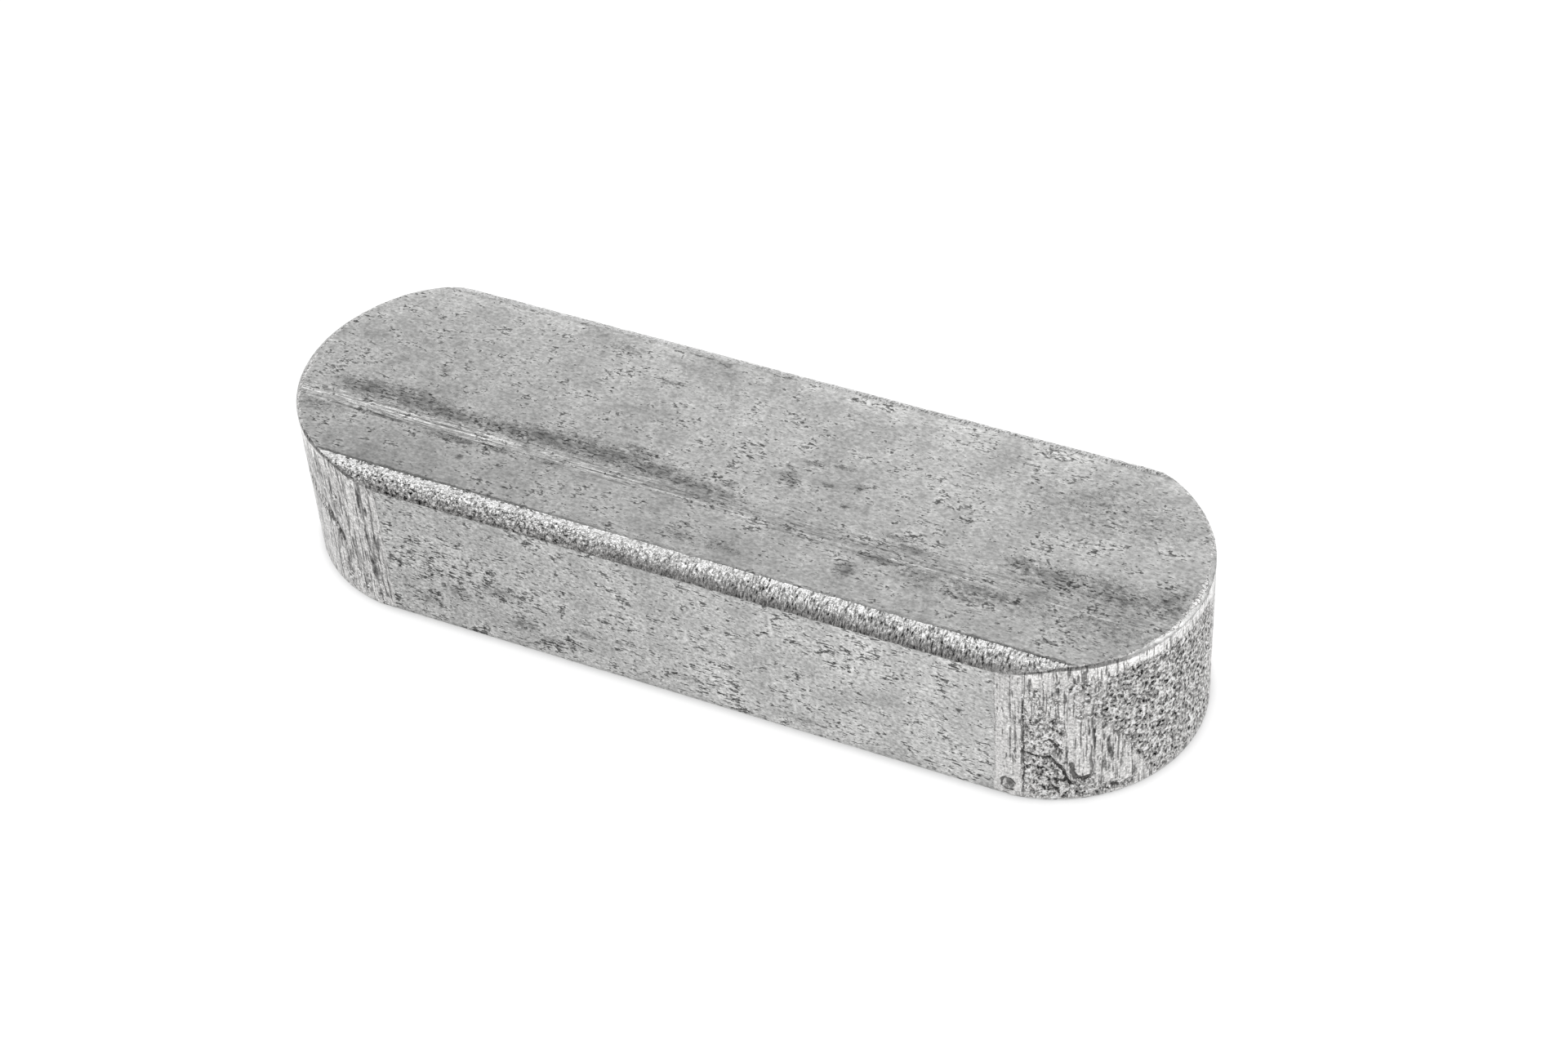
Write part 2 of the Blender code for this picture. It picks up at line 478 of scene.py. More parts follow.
@dataclass(frozen=True)
class OblongKey:
    """The steel key, as one closed skin that stands for the CAD solid."""

    length: float  # Length over both round ends
    width: float  # Width between the flanks
    height: float  # Height of the top face above the bottom one
    # Upper long corners, which the die left free
    corner: CrownedCorner = CrownedCorner(across=1.28, down=1.08, crown=0.19)
    foot: CrownedCorner = CrownedCorner(across=0.30, down=0.30, crown=0.08)  # Lower long corners
    right: PunchedEnd = RIGHT_END  # The torn end at +X
    left: PunchedEnd = LEFT_END  # The streaked end at -X
    rim_depth: float = 0.20  # How deep the upper rim of the ends is rolled over
    rim_narrow: float = 0.10  # How wide the roll is by the flanks
    rim_wide: float = 0.40  # How wide it is at the tips
    foot_rim: float = 0.12  # Width of the broken edge at the foot
    wall_rows: int = 88  # Rows of the mesh up the wall
    low_share: float = 0.38  # Share of the wall's height that the lower half of its rows takes
    corner_rows: int = 14  # Rows of the mesh across a corner
    foot_rows: int = 3  # Rows of the mesh across a lower corner
    peel: float = 0.022  # Height of the orange peel on the corners
    waves: float = 0.004  # Height of the waves of the drawn faces

    @property
    def radius(self) -> float:
        """Radius of the round ends."""
        return self.width / 2

    @property
    def middle(self) -> float:
        """Distance of an end's centre from the middle of the key."""
        return self.length / 2 - self.radius

    def columns(self) -> dict[str, Numbers]:
        """Columns of the mesh, once round the outline from the middle of the back flank.

        A column stands at the point c + r n: c is on the key's long axis, between the
        centres of the two ends, n points out of the outline and r is the end's radius. The
        distance s along the outline is 0 at the middle of the front flank.

        Returns:
            s: The distance, with one more item than there are columns. centre: Where c is
            along the axis. nx, ny: The direction n. end: 1 on the right end, -1 on the
            left one and 0 on a flank. around: Distance round the end from the front flank.
            past: Distance past the end's nearer border, negative on a flank.
        """
        end = math.pi * self.radius
        half = 2 * self.middle + end
        front = self.middle
        # Where the columns' spacing changes, and the number of columns from each such place on
        marks = [-half, -front - end, -front - 10.5, -front]
        counts = [64, 86, 104, 206]
        marks += [front, front + 1.7, front + 6.5, front + 17.5, front + end, half]
        counts += [16, 78, 112, 60, 64]
        pieces = [
            np.linspace(first, last, count, endpoint=False)
            for (first, last), count in zip(itertools.pairwise(marks), counts)
        ]
        s = np.concatenate([*pieces, [half]])
        path = np.abs(s[:-1])
        side = np.sign(s[:-1])
        around = np.clip(path - self.middle, 0.0, end)
        turn = around / self.radius
        on_end = (path > self.middle) & (path < self.middle + end)
        from_back = np.maximum(path - self.middle - end, 0.0)
        return {
            "s": s,
            "centre": side * np.where(path < self.middle, path, self.middle - from_back),
            "nx": np.where(on_end, side * np.sin(turn), 0.0),
            "ny": -np.cos(turn),
            "end": np.where(on_end, side, 0.0),
            "around": around,
            "past": np.minimum(path - self.middle, self.middle + end - path),
        }

    def rows(self) -> Rows:
        """Spaces the rows of the mesh, close together on the corners and rims.

        Returns:
            The rows.
        """
        # Distances in from the outline on the bottom face and, below, on the top one
        foot_in = [self.radius, 6.0, 3.0, 1.0, 0.6]
        foot_edge = self.foot.insets(self.foot_rows)[::-1]
        low = np.linspace(0.0, self.low_share, self.wall_rows // 2, endpoint=False)
        high = np.linspace(self.low_share, 1.0, self.wall_rows // 2)
        wall = np.concatenate([low[1:], high[:-1]])
        corner = self.corner.insets(self.corner_rows)
        top_in = [1.45, 1.75, 2.3, 3.0, 3.8, 4.7, 5.7, 6.8, 8.0, 9.0, self.radius]
        place = np.concatenate([foot_in, foot_edge, wall, corner, top_in])
        counts = (len(foot_in) + len(foot_edge), len(wall), len(corner) + len(top_in))
        zone = np.repeat([Zone.FOOT.value, Zone.WALL.value, Zone.TOP.value], counts)
        coarse = np.zeros(len(place), bool)
        coarse[: len(foot_in) - 1] = True
        coarse[1 - len(top_in) :] = True
        crease = np.zeros(len(place), bool)
        top = counts[0] + counts[1]
        crease[[len(foot_in), counts[0] - 1, top, top + len(corner) - 1]] = True
        return Rows(zone, place, coarse, crease)

    def rim(self, columns: dict[str, Numbers]) -> Numbers:
        """Width of the rolled rim: narrow by the flanks, wide at the tips.

        Args:
            columns: The columns of the mesh.

        Returns:
            The width at each column.
        """
        lumps = Lumps(31)
        tip = ramp(columns["past"], 6.0, 15.0)
        uneven = 1 + 0.30 * lumps.at(columns["around"], columns["end"], 0.0, 1.3)
        return (self.rim_narrow + (self.rim_wide - self.rim_narrow) * tip) * uneven

    def skin(self) -> dict[str, Numbers]:
        """Points of the skin and what its finish reads at them, each as rows by columns.

        The wall stands on the outline, and the top and the foot are heights over it: the
        corner's drop below the face, or the rim's, whichever is more. The rim drops by
        three quarters of its depth in a straight line and by the rest as a quarter of an
        ellipse. The ends' relief moves the wall along n, and moves the rows of the top
        less and less behind the edge.

        Returns:
            points: The points. corner: Place across the free corner, 0 at the face and 1
            at the flank. punched: Distance past the border of the punched metal. torn:
            Distance inside torn metal. crevice: Distance from a crack in widths. level:
            Height on the wall, and past it the height plus the distance in.
        """
        columns, rows = self.columns(), self.rows()
        zone = rows.zone[:, None]
        zones = [zone == Zone.WALL.value, zone == Zone.TOP.value]
        on_wall, on_top = zones
        place = rows.place[:, None]
        inset = np.where(on_wall, 0.0, place)
        reach = self.radius - inset
        from_flank = self.radius - np.abs(reach * columns["ny"])
        rim = self.rim(columns)
        within = 1 - np.clip(inset / rim, 0, 1)
        roll = 0.75 * within + 0.25 * (1 - np.sqrt(1 - within**2))
        top = self.height - np.maximum(self.corner.drop(from_flank), self.rim_depth * roll)
        foot = np.maximum(self.foot.drop(from_flank), np.maximum(self.foot_rim - inset, 0))
        z = np.select(zones, [foot + (top - foot) * place, top], foot)
        lean = np.where(on_top, self.corner.lean(from_flank), 0.0)

        full = np.ones_like(z)
        end = columns["end"]
        level = np.select(zones, [z, top], 0.0)
        around = columns["around"] * full
        fields = {}
        for label in ("relief", "torn", "crevice"):
            right = getattr(self.right, label)(around, level)
            left = getattr(self.left, label)(around, level)
            fields[label] = np.where(end > 0, right, left)
        onset = ramp(columns["past"], -0.3, 0.3)
        edge = ramp(top - z, 0.05, 0.5) * ramp(z - foot, 0.02, 0.25)
        relief = fields["relief"] * onset * np.where(on_wall, 0.06 + 0.94 * edge, 0.06)
        relief *= 1 - ramp(inset, 0, 1.4)

        x = columns["centre"] + reach * columns["nx"]
        y = reach * columns["ny"] * full
        lumps = Lumps(3)
        free = (from_flank < self.corner.across) & on_top
        peel = self.peel * (lumps.at(x, y, z, 0.75) + 0.6 * lumps.at(x, y, z + 40, 0.42))
        wave = self.waves * (lumps.at(x / 4, y, z, 2.5) + lumps.at(x / 3, y, z + 70, 1.1))
        out = np.where(free, peel, wave) * (on_wall | on_top)
        sideways = np.where(on_wall, columns["ny"], np.sign(columns["ny"]) * np.sin(lean))
        x = x + (relief + np.where(on_wall, out, 0.0)) * columns["nx"]
        y = y + relief * columns["ny"] + out * sideways
        z = z + out * np.where(on_wall, 0.0, np.cos(lean))

        low, high = self.corner.turns
        arc = self.corner.radius * (high - low)
        across = (self.corner.lean(from_flank) - low) / (high - low)
        outside = (self.corner.across - from_flank) / arc
        across = np.where(from_flank < self.corner.across, across, outside)
        below = 1 + (top - z) / arc + ramp(columns["past"], 0.0, 0.3)
        punched = np.where(on_wall, columns["past"], np.minimum(rim - inset, columns["past"]))
        return {
            "points": np.stack(np.broadcast_arrays(x, y, z), axis=-1),
            "corner": np.select(zones, [below, across], 3.0),
            "punched": np.where(on_wall | on_top, np.clip(punched, -1, 1), -1.0),
            "torn": np.where(on_wall & (end != 0), fields["torn"], -1.0),
            "crevice": np.where(on_wall, fields["crevice"], 3.0),
            "level": np.select(zones, [z, self.height + inset], -inset),
        }

    def faces(self, total: int) -> list[Numbers]:
        """Faces of the mesh, each corner as a row and a column.

        Between two like rows a face joins columns k and k+1. Between a fine row and a
        coarse one, three triangles join fine columns 2k, 2k+1 and 2k+2 to coarse ones.

        Args:
            total: Number of columns.

        Returns:
            Blocks of faces, each as faces by corners by row and column. The last column is
            followed by column number total, which is the first one again.
        """
        coarse = self.rows().coarse
        blocks = []
        for low in range(len(coarse) - 1):
            high = low + 1
            if coarse[low] == coarse[high]:
                step = 2 if coarse[low] else 1
                at = np.arange(0, total, step)
                shapes = [[(low, 0), (low, step), (high, step), (high, 0)]]
            else:
                at = np.arange(0, total, 2)
                fine, few = (high, low) if coarse[low] else (low, high)
                shapes = [[(fine, 0), (fine, 1), (few, 0)], [(fine, 1), (few, 2), (few, 0)]]
                shapes.append([(fine, 1), (fine, 2), (few, 2)])
                shapes = [shape[::-1] if coarse[low] else shape for shape in shapes]
            for shape in shapes:
                corners = [
                    np.stack([np.full_like(at, row), at + ahead], axis=-1) for row, ahead in shape
                ]
                blocks.append(np.stack(corners, axis=1))
        return blocks

    def build(self, name: str) -> bpy.types.Object:
        """Makes the skin's mesh, with its edges sharp where the metal's are.

        Args:
            name: Name of the piece.

        Returns:
            The piece, in the scene.
        """
        skin, rows, s = self.skin(), self.rows(), self.columns()["s"]
        total = len(s) - 1
        blocks = self.faces(total)
        grid = [block[..., 0] * total + block[..., 1] % total for block in blocks]
        used = np.unique(np.concatenate([part.ravel() for part in grid]))
        faces = [face for part in grid for face in np.searchsorted(used, part).tolist()]
        mesh = bpy.data.meshes.new(name)
        mesh.from_pydata(skin["points"].reshape(-1, 3)[used] * MM, [], faces)
        corners = np.concatenate([block.reshape(-1, 2) for block in blocks])
        level = skin["level"][corners[:, 0], corners[:, 1] % total]
        unrolled = mesh.uv_layers.new(name="unrolled")
        unrolled.data.foreach_set("uv", np.stack([s[corners[:, 1]], level], axis=1).ravel())
        for label in READ:
            values = mesh.attributes.new(label, "FLOAT", "POINT")
            values.data.foreach_set("value", skin[label].reshape(-1)[used].astype(np.float32))
        ring = np.where(rows.crease, np.arange(len(rows.crease)), -1)[used // total]
        rings = mesh.attributes.new("ring", "INT", "POINT")
        rings.data.foreach_set("value", ring.astype(np.int32))

        bm = bmesh.new()
        bm.from_mesh(mesh)
        bmesh.ops.remove_doubles(bm, verts=bm.verts, dist=1e-8)
        bmesh.ops.recalc_face_normals(bm, faces=bm.faces)
        bm.to_mesh(mesh)
        bm.free()
        mesh.shade_smooth()
        ring = np.empty(len(mesh.vertices), np.int32)
        mesh.attributes["ring"].data.foreach_get("value", ring)
        ends = np.empty(2 * len(mesh.edges), np.int32)
        mesh.edges.foreach_get("vertices", ends)
        one, two = ring[ends.reshape(-1, 2)].T
        sharp = mesh.attributes.new("sharp_edge", "BOOLEAN", "EDGE")
        sharp.data.foreach_set("value", (one == two) & (one >= 0))
        mesh.attributes.remove(mesh.attributes["ring"])
        return put(name, mesh)


# The steel's finish


class Kind(NamedTuple):
    """A kind of node."""

    type: str  # Blender's name for it, without the ShaderNode before it
    inputs: tuple[int | str, ...] = ()  # Its inputs, in the order in which values are given
    settings: dict[str, Any] = {}  # Its own properties


# A noise's scale is the number of its waves in a millimetre
NOISE = Kind("TexNoise", ("Vector", "Scale", "Detail", "Roughness", "Distortion"))
FIT = Kind("MapRange", ("Value", "From Min", "From Max", "To Min", "To Max"))
BLEND = Kind("Mix", (0, 2, 3))
TINT = Kind("Mix", (0, 6, 7), {"data_type": "RGBA"})
AXES = Kind("SeparateXYZ", (0,))
RAYS = Kind("LightPath")
SCALED = Kind("VectorMath", (0, "Scale"), {"operation": "SCALE"})
APART, STRETCHED, LENGTH = (
    Kind("VectorMath", (0, 1), {"operation": name}) for name in ("SUBTRACT", "MULTIPLY", "LENGTH")
)
PLUS, MINUS, TIMES, MOST, SIZE, ABOVE, NEAR = (
    Kind("Math", (0, 1, 2), {"operation": name})
    for name in ("ADD", "SUBTRACT", "MULTIPLY", "MAXIMUM", "ABSOLUTE", "GREATER_THAN", "COMPARE")
)


@dataclass(frozen=True)
class Value:
    """What a node gives: a number, a place or a colour. A sum on it adds the sum's node."""

    graph: "Graph"  # The tree that it is in
    socket: bpy.types.NodeSocket | None  # The node's output

    def __getitem__(self, name: str) -> "Value":
        """Another output of the same node."""
        return Value(self.graph, self.socket.node.outputs[name])

    def __add__(self, other: "Value | float") -> "Value":
        """The sum of two numbers."""
        return self.graph.add(PLUS, self, other)

    def __sub__(self, other: "Value | float | Place") -> "Value":
        """The difference of two numbers, or of two places."""
        return self.graph.add(APART if isinstance(other, tuple) else MINUS, self, other)

    def __rsub__(self, other: float) -> "Value":
        """A number less this one."""
        return self.graph.add(MINUS, other, self)

    def __mul__(self, other: "Value | float | Place") -> "Value":
        """The product of two numbers, or a place or colour times one number or one for each axis."""
        if isinstance(other, tuple):
            return self.graph.add(STRETCHED, self, other)
        return self.graph.add(TIMES if self.socket.type == "VALUE" else SCALED, self, other)

    def __rmul__(self, other: float | tuple[float, ...]) -> "Value":
        """The same product, or a fixed colour times this number."""
        return self.graph.add(SCALED, other, self) if isinstance(other, tuple) else self * other

    def __abs__(self) -> "Value":
        """The number without its sign."""
        return self.graph.add(SIZE, self)

    __radd__ = __add__


@dataclass(frozen=True)
class Graph:
    """The node tree of one material or of the world."""

    tree: bpy.types.NodeTree

    @classmethod
    def of(cls, owner: bpy.types.Material | bpy.types.World) -> "Graph":
        """Empties the tree of a material or a world.

        Args:
            owner: The material or the world.

        Returns:
            Its tree.
        """
        owner.use_nodes = True
        owner.node_tree.nodes.clear()
        return cls(owner.node_tree)

    def add(self, kind: Kind, *values: Value | float | tuple[float, ...], **settings: Any) -> Value:
        """Adds a node with its settings and links.

        Args:
            kind: The kind of node.
            values: What its inputs take, in the kind's order: numbers, colours, or what
                other nodes give.
            settings: More of its own properties.

        Returns:
            The first of its outputs in use.
        """
        node = self.tree.nodes.new("ShaderNode" + kind.type)
        for name, setting in {**kind.settings, **settings}.items():
            setattr(node, name, setting)
        for key, value in zip(kind.inputs, values):
            if isinstance(value, Value):
                self.tree.links.new(value.socket, node.inputs[key])
            elif isinstance(value, tuple):
                node.inputs[key].default_value = value[: len(node.inputs[key].default_value)]
            else:
                node.inputs[key].default_value = value
        return Value(self, next((output for output in node.outputs if output.enabled), None))


class Site(NamedTuple):
    """What a finish reads at a point of the skin."""

    graph: Graph  # The material's tree
    place: Value  # The point's place on the key, in mm
    x: Value  # Its place along the key
    y: Value  # Its place across the key
    z: Value  # Its height
    unrolled: Value  # Its distance along the outline and its level
    along: Value  # The distance alone, from the middle of the front flank
    level: Value  # The level alone, as OblongKey.skin gives it, like the four that follow
    corner: Value  # Place across the free corner
    punched: Value  # Distance past the border of the punched metal
    torn: Value  # Distance inside torn metal
    crevice: Value  # Distance from a crack in widths


class Layer(NamedTuple):
    """One finish of the surface: its colour, its roughness and its relief in mm."""

    colour: Value
    roughness: Value | float
    relief: Value

    def under(self, top: "Layer", share: Value) -> "Layer":
        """Lays another finish over this one.

        Args:
            top: The other one.
            share: How far it covers this one, from 0 to 1.

        Returns:
            The finish of both.
        """
        add = share.graph.add
        return Layer(
            add(TINT, share, self.colour, top.colour),
            add(BLEND, share, self.roughness, top.roughness),
            add(BLEND, share, self.relief, top.relief),
        )


@dataclass(frozen=True)
class Mark:
    """A soft ellipse on the surface, in mm: a stain, a spot or an upright groove."""

    # Its middle's first coordinate: X on the top face, distance along the outline from the middle of
    # the front flank on a wall
    u: float
    v: float  # Its middle's second coordinate: Y on the top face, height on a wall
    half_u: float  # Half its extent in the first coordinate
    half_v: float  # Half its extent in the second
    strength: float = 1.0  # How dark it is


@dataclass(frozen=True)
class Score:
    """A line that the die has drawn along the top face, in mm."""

    across: float  # Its Y
    half: float  # Half its width
    strength: float  # How much lighter than the face it is, or darker where it is negative
    start: float  # X where it begins
    stop: float  # X where it ends


# Damp stains and spots of the top face
TOP_STAINS = tuple(
    Mark(*row)
    for row in (
        (-25.6, -2.35, 2.8, 0.8), (-23, -2.25, 2.6, 0.88), (-19.4, -2.62, 4.2, 0.62),
        (-15.6, -2.58, 4, 0.64), (-12.4, -2.4, 3.4, 0.8), (-8.6, -2.34, 3.8, 0.88, 1.05),
        (-5.4, -2.55, 3.2, 0.72), (-6.4, -1.4, 1.6, 0.5, 0.8), (-11, -1.55, 1.4, 0.4, 0.7),
        (-2.4, -2.85, 2.6, 0.5), (0.2, -3.2, 1.6, 0.55, 0.95), (0.2, -1.9, 0.5, 0.3, 0.8),
        (-0.8, -3.8, 2.6, 0.3, 0.75), (11.2, -3.8, 2.2, 0.32, 0.8), (13.2, -3.2, 1.6, 0.4, 0.8),
        (12.2, -2.6, 0.9, 0.3, 0.75), (20.2, -1.8, 1, 0.7, 0.95), (22.6, -2.2, 2.6, 0.95, 0.92),
        (22, -3.1, 2.4, 0.45, 0.72), (26.6, -2.3, 3.4, 1.1, 0.86), (29.8, -1.8, 1.2, 1.6, 0.84),
        (26.4, -4.4, 4.4, 1.9, 0.54), (24, 4.6, 5, 2.4, 0.36), (-18.4, -4.68, 2, 0.3),
        (-15.4, -4.62, 1.5, 0.2, 0.85), (-12, -4.52, 1.6, 0.14, 0.75), (-23.6, -4.46, 3.6, 0.16, 0.8),
        (11.6, -4.65, 1.5, 0.4), (14.4, -5.1, 1.2, 0.45, 0.75), (19.4, -5, 3.4, 0.55, 0.75),
        (18, -5.8, 3.4, 0.4, 0.6), (-22.3, 1, 0.5, 0.35, 0.7), (-28.4, -4.9, 1.6, 0.5, 0.6),
        (3.5, 0.05, 0.62, 0.5, 1.3), (3.9, -0.55, 0.3, 0.4, 0.9), (3.2, 0.9, 0.45, 0.16, 0.9),
        (4.6, 1.75, 0.85, 0.24, 0.95), (6.4, 2.05, 0.75, 0.18, 0.9), (6.2, 0.25, 0.45, 0.25, 0.9),
        (8.1, 0.75, 0.35, 0.3, 0.95), (7.9, -1.15, 0.3, 0.25, 0.9), (10.1, -6.25, 0.62, 0.55, 1.2),
        (9.6, -3.8, 0.35, 0.22, 0.95), (2, -7.2, 1.2, 0.45, 0.6), (-0.6, -7.3, 1.4, 0.5, 0.6),
        (-11.8, 7.4, 0.9, 0.45, 0.65), (-7.4, 5.4, 1.3, 0.3, 0.65), (-17.2, -6.05, 0.26, 0.22, 1.2),
        (-4.9, 8.3, 0.55, 0.2, 1.1), (-0.4, 8.62, 0.4, 0.12, 1.1), (-8.4, 0.4, 0.26, 0.18, 0.95),
        (-6.6, 8.5, 1.5, 0.08, 0.8),
    )
)

# The scores lie in a hatched band of the top face, and this is its Y and half its width
BAND_MIDDLE = -3.84
BAND_HALF = 0.66
SCORES = tuple(
    Score(*row)
    for row in (
        (-3.86, 0.17, 0.5, -31, -21.5), (-3.55, 0.12, 0.34, -27.5, -14),
        (-3.62, 0.08, 0.32, -16, -4), (-3.92, 0.09, 0.34, -21.5, -5),
        (-3.4, 0.07, -0.2, -26, -15), (-3.7, 0.08, -0.26, -9, 3),
        (-4, 0.09, -0.26, -10, -1.5), (-4.16, 0.09, 0.32, -10, 1.5),
        (-4.42, 0.11, -0.3, -28, -10), (-4.34, 0.11, 0.28, 1.5, 29), (-3.45, 0.08, 0.22, 2, 12),
        (-3.76, 0.12, -0.18, 3, 20), (-4.14, 0.08, -0.2, 4, 18), (-4.6, 0.11, -0.26, 4, 18),
    )
)

# Height of the painted shade line along the foot of the flanks, at the border of the lower corner
FOOT_SHADE_LINE = 0.36

# Dark streaks and grooves of the ends
END_MARKS = tuple(
    Mark(*row)
    for row in (
        (22.55, 7.6, 0.06, 3.3, 0.95), (22.86, 5.6, 0.07, 2.2, 0.95), (22.72, 3.4, 0.04, 1.7, 0.85),
        (23.33, 5, 0.09, 4.5, 1.2), (21.55, 5.6, 0.05, 3.4, 0.45), (21.2, 2.6, 0.05, 1.7, 0.75),
        (25.45, 10.1, 0.14, 0.5), (26.5, 10.2, 0.11, 0.6, 0.9), (24.6, 9.3, 0.06, 1.1, 0.85),
        (27.75, 4.6, 0.07, 2.3, 0.95), (28.72, 4.2, 0.09, 1.6, 1.1), (28.98, 3.7, 0.05, 1, 0.85),
        (26, 4.4, 0.05, 1.5, 0.75), (29.6, 3.6, 0.08, 1.4, 0.55), (30.5, 1.5, 0.05, 0.9, 0.85),
        (28.1, 1.4, 0.05, 0.8, 0.8), (22.32, 1.1, 0.36, 0.42, 0.5), (-22.2, 7.9, 0.07, 2.2, 1.1),
        (-22.1, 4.4, 0.05, 2, 0.85), (-22.6, 3.3, 0.22, 2, 0.95), (-23, 9.1, 0.09, 1.7),
        (-23.3, 7.8, 0.06, 2.4, 0.9), (-23.5, 5.3, 0.05, 2.2, 0.85), (-24.1, 9.4, 0.05, 1.2, 0.85),
        (-24.45, 6.9, 0.07, 2.4), (-24.2, 3.4, 0.07, 1.5, 0.85), (-24.85, 8.9, 0.08, 2),
        (-25.2, 2.4, 0.4, 1.8, 0.8), (-25.7, 8.9, 0.09, 1.9), (-25.85, 5.3, 0.1, 1.5),
        (-26.6, 8.8, 0.09, 1.6, 0.85), (-26.4, 2, 0.08, 0.9, 0.85), (-23.4, 1.6, 0.09, 0.9, 0.85),
    )
)

# Spots and smears of the front flank
FLANK_MARKS = tuple(
    Mark(*row)
    for row in (
        (-4.5, 3.4, 0.28, 0.12, 1.2), (2.3, 6.2, 0.2, 0.1), (19.3, 3.5, 0.16, 0.12, 1.1),
        (15.6, 8.2, 0.14, 0.1), (8, 8.4, 0.9, 0.1, 0.75), (11, 7.5, 0.8, 0.1, 0.75),
        (12.8, 4.6, 0.8, 0.08, 0.9), (-16.4, 3.6, 0.8, 0.55, 0.72), (-13, 4.8, 1.2, 0.6, 0.66),
        (-11.6, 2.4, 1, 0.6, 0.72), (-9, 1.6, 1.4, 0.5, 0.66), (-7, 3.2, 0.9, 0.4, 0.66),
        (-18.6, 2.2, 0.9, 0.5, 0.66), (1, 2, 1.6, 0.35, 0.6), (8.4, 1.4, 1.5, 0.35, 0.62),
    )
)


@dataclass(frozen=True)
class DrawnSteel:
    """Bare cold-drawn medium-carbon steel, stored dry, in its four surfaces.

    The drawn faces were burnished by the die and then etched by damp: satin grey with
    fine dark dashes along the bar. The corners never touched the die, so they keep an
    orange-peel skin. The ends were punched: upright burnish streaks and torn metal.
    """

    middle: float  # Distance of an end's centre from the middle of the key
    height: float  # Height of the top face

    drawn: str = "#bfbfbe"
    peel_painted_highlight: str = "#fefefd"  # The free corners by the top face, lightened as a painted highlight of the soft box above
    peel_painted_shade: str = "#adacab"  # The same towards the flank, darkened as painted shade
    peel_foot_painted_shade: str = "#959493"  # The same on the border with the flank, darker still as painted shade
    burnished: str = "#cecdcc"
    torn: str = "#d3d2d1"
    rolled: str = "#d2d2d1"  # The rolled rim at the tips, polished and lightened by a painted highlight
    # Painted shade in the cracks of the torn metal
    crevice: str = "#4e4d4c"
    drawn_roughness: float = 0.42
    bright_roughness: float = 0.36
    torn_roughness: float = 0.52

    def material(self) -> bpy.types.Material:
        """Makes the steel's material, one Principled surface fed by its four layers.

        Returns:
            The material.
        """
        material = bpy.data.materials.new("cold_drawn_steel")
        graph = Graph.of(material)
        add = graph.add
        place = add(Kind("TexCoord"))["Object"] * (1 / MM)
        unrolled = add(Kind("UVMap"), uv_map="unrolled")
        axes = add(AXES, place)
        flat = add(AXES, unrolled)
        read = [add(Kind("Attribute"), attribute_name=label)["Fac"] for label in READ]
        at = Site(graph, place, axes["X"], axes["Y"], axes["Z"], unrolled, flat["X"], flat["Y"], *read)

        ragged = add(NOISE, place, 2.6, 4, 0.6) - 0.5
        across = 0.16 * ragged + at.corner
        in_corner = add(FIT, across, -0.012, 0.012) * add(FIT, across, 1.015, 1.04, 1, 0)
        in_end = add(FIT, 0.8 * ragged + at.punched, -0.08, 0.08)
        layer = self.drawn_faces(at).under(self.free_corners(at), in_corner)
        layer = self.rims(at, layer.under(self.punched_ends(at), in_end))

        bump = add(Kind("Bump", ("Height", "Distance", "Strength")), layer.relief, MM, 1)
        inputs = ("Base Color", "Roughness", "Metallic", "Normal")
        surface = add(Kind("BsdfPrincipled", inputs), layer.colour, layer.roughness, 1, bump)
        add(Kind("OutputMaterial", ("Surface",)), surface)
        return material

    def marked(self, place: Value, marks: tuple[Mark, ...], ragged: Value) -> Value:
        """How dark a set of marks is at a point, from 0 to 1, with ragged borders.

        Args:
            place: The two coordinates of the marks.
            marks: The marks.
            ragged: A noise of 0 to 1 that eats into the marks.

        Returns:
            The darkness.
        """
        add = place.graph.add
        field: Value | float = 0.0
        for mark in marks:
            apart = (place - (mark.u, mark.v, 0.0)) * (1 / mark.half_u, 1 / mark.half_v, 0.0)
            field = add(MOST, add(FIT, add(LENGTH, apart)["Value"], 1.6, 0.2, 0, mark.strength), field)
        return add(FIT, 4 * (ragged - 0.5) + field, 0.2, 0.8) * add(ABOVE, field, 0.02)

    def border_shade(self, at: Site) -> Value:
        """How strong the painted shade line between the top face and a corner is: most by the front's
        ends.

        Args:
            at: What is read at the point.

        Returns:
            The clearness, from 0 to 1.
        """
        add = at.graph.add
        sides = add(MOST, add(FIT, at.x, -12, -4, 1, 0.4), add(FIT, at.x, 17, 19.5, 0.4, 1))
        return sides * add(FIT, at.y, -5, 5, 1, 0.3)

    def drawn_faces(self, at: Site) -> Layer:
        """The die-burnished faces: grain and dashes along the bar, stains and scores on top, and
        painted light and shade.

        Args:
            at: What is read at the point.

        Returns:
            The finish.
        """
        add = at.graph.add
        on_top = add(FIT, at.z, self.height - 0.15, self.height - 0.07)
        pulled = at.place * (0.7, 1.0, 1.0)
        cloud = add(NOISE, at.place, 0.28, 3, 0.6)
        mottle = add(NOISE, pulled, 1.3, 3, 0.6)
        grain = add(NOISE, pulled, 4.4, 1.5, 0.8)
        left = add(FIT, at.x, -20, 4, 1, 0)
        right = add(FIT, at.x, -20, 20)
        lighter = add(BLEND, on_top, right, add(FIT, at.y, -9, 9))
        colour = linear(self.drawn) * (1 + 1.10 * (cloud - 0.5))
        colour *= 1 + 0.85 * (mottle - 0.5)
        colour *= 1 + add(BLEND, on_top, add(BLEND, right, 2, 1.8), 1.25) * (grain - 0.5)
        # Painted light: the top face is lifted above the flanks of the same steel. Both faces grow
        # lighter to the right on the flank and to the back on the top; the top is darker at its front
        # left and lighter along its back edge
        colour *= 1 + add(BLEND, on_top, 0.12, 0.26) * (lighter - 0.5)
        colour *= 1 - on_top * (left * add(FIT, at.y, -4, -9, 0.07, 0.15) - 0.09)
        colour *= 1 + 0.12 * (add(FIT, at.y, 7.3, 8.3) * on_top)

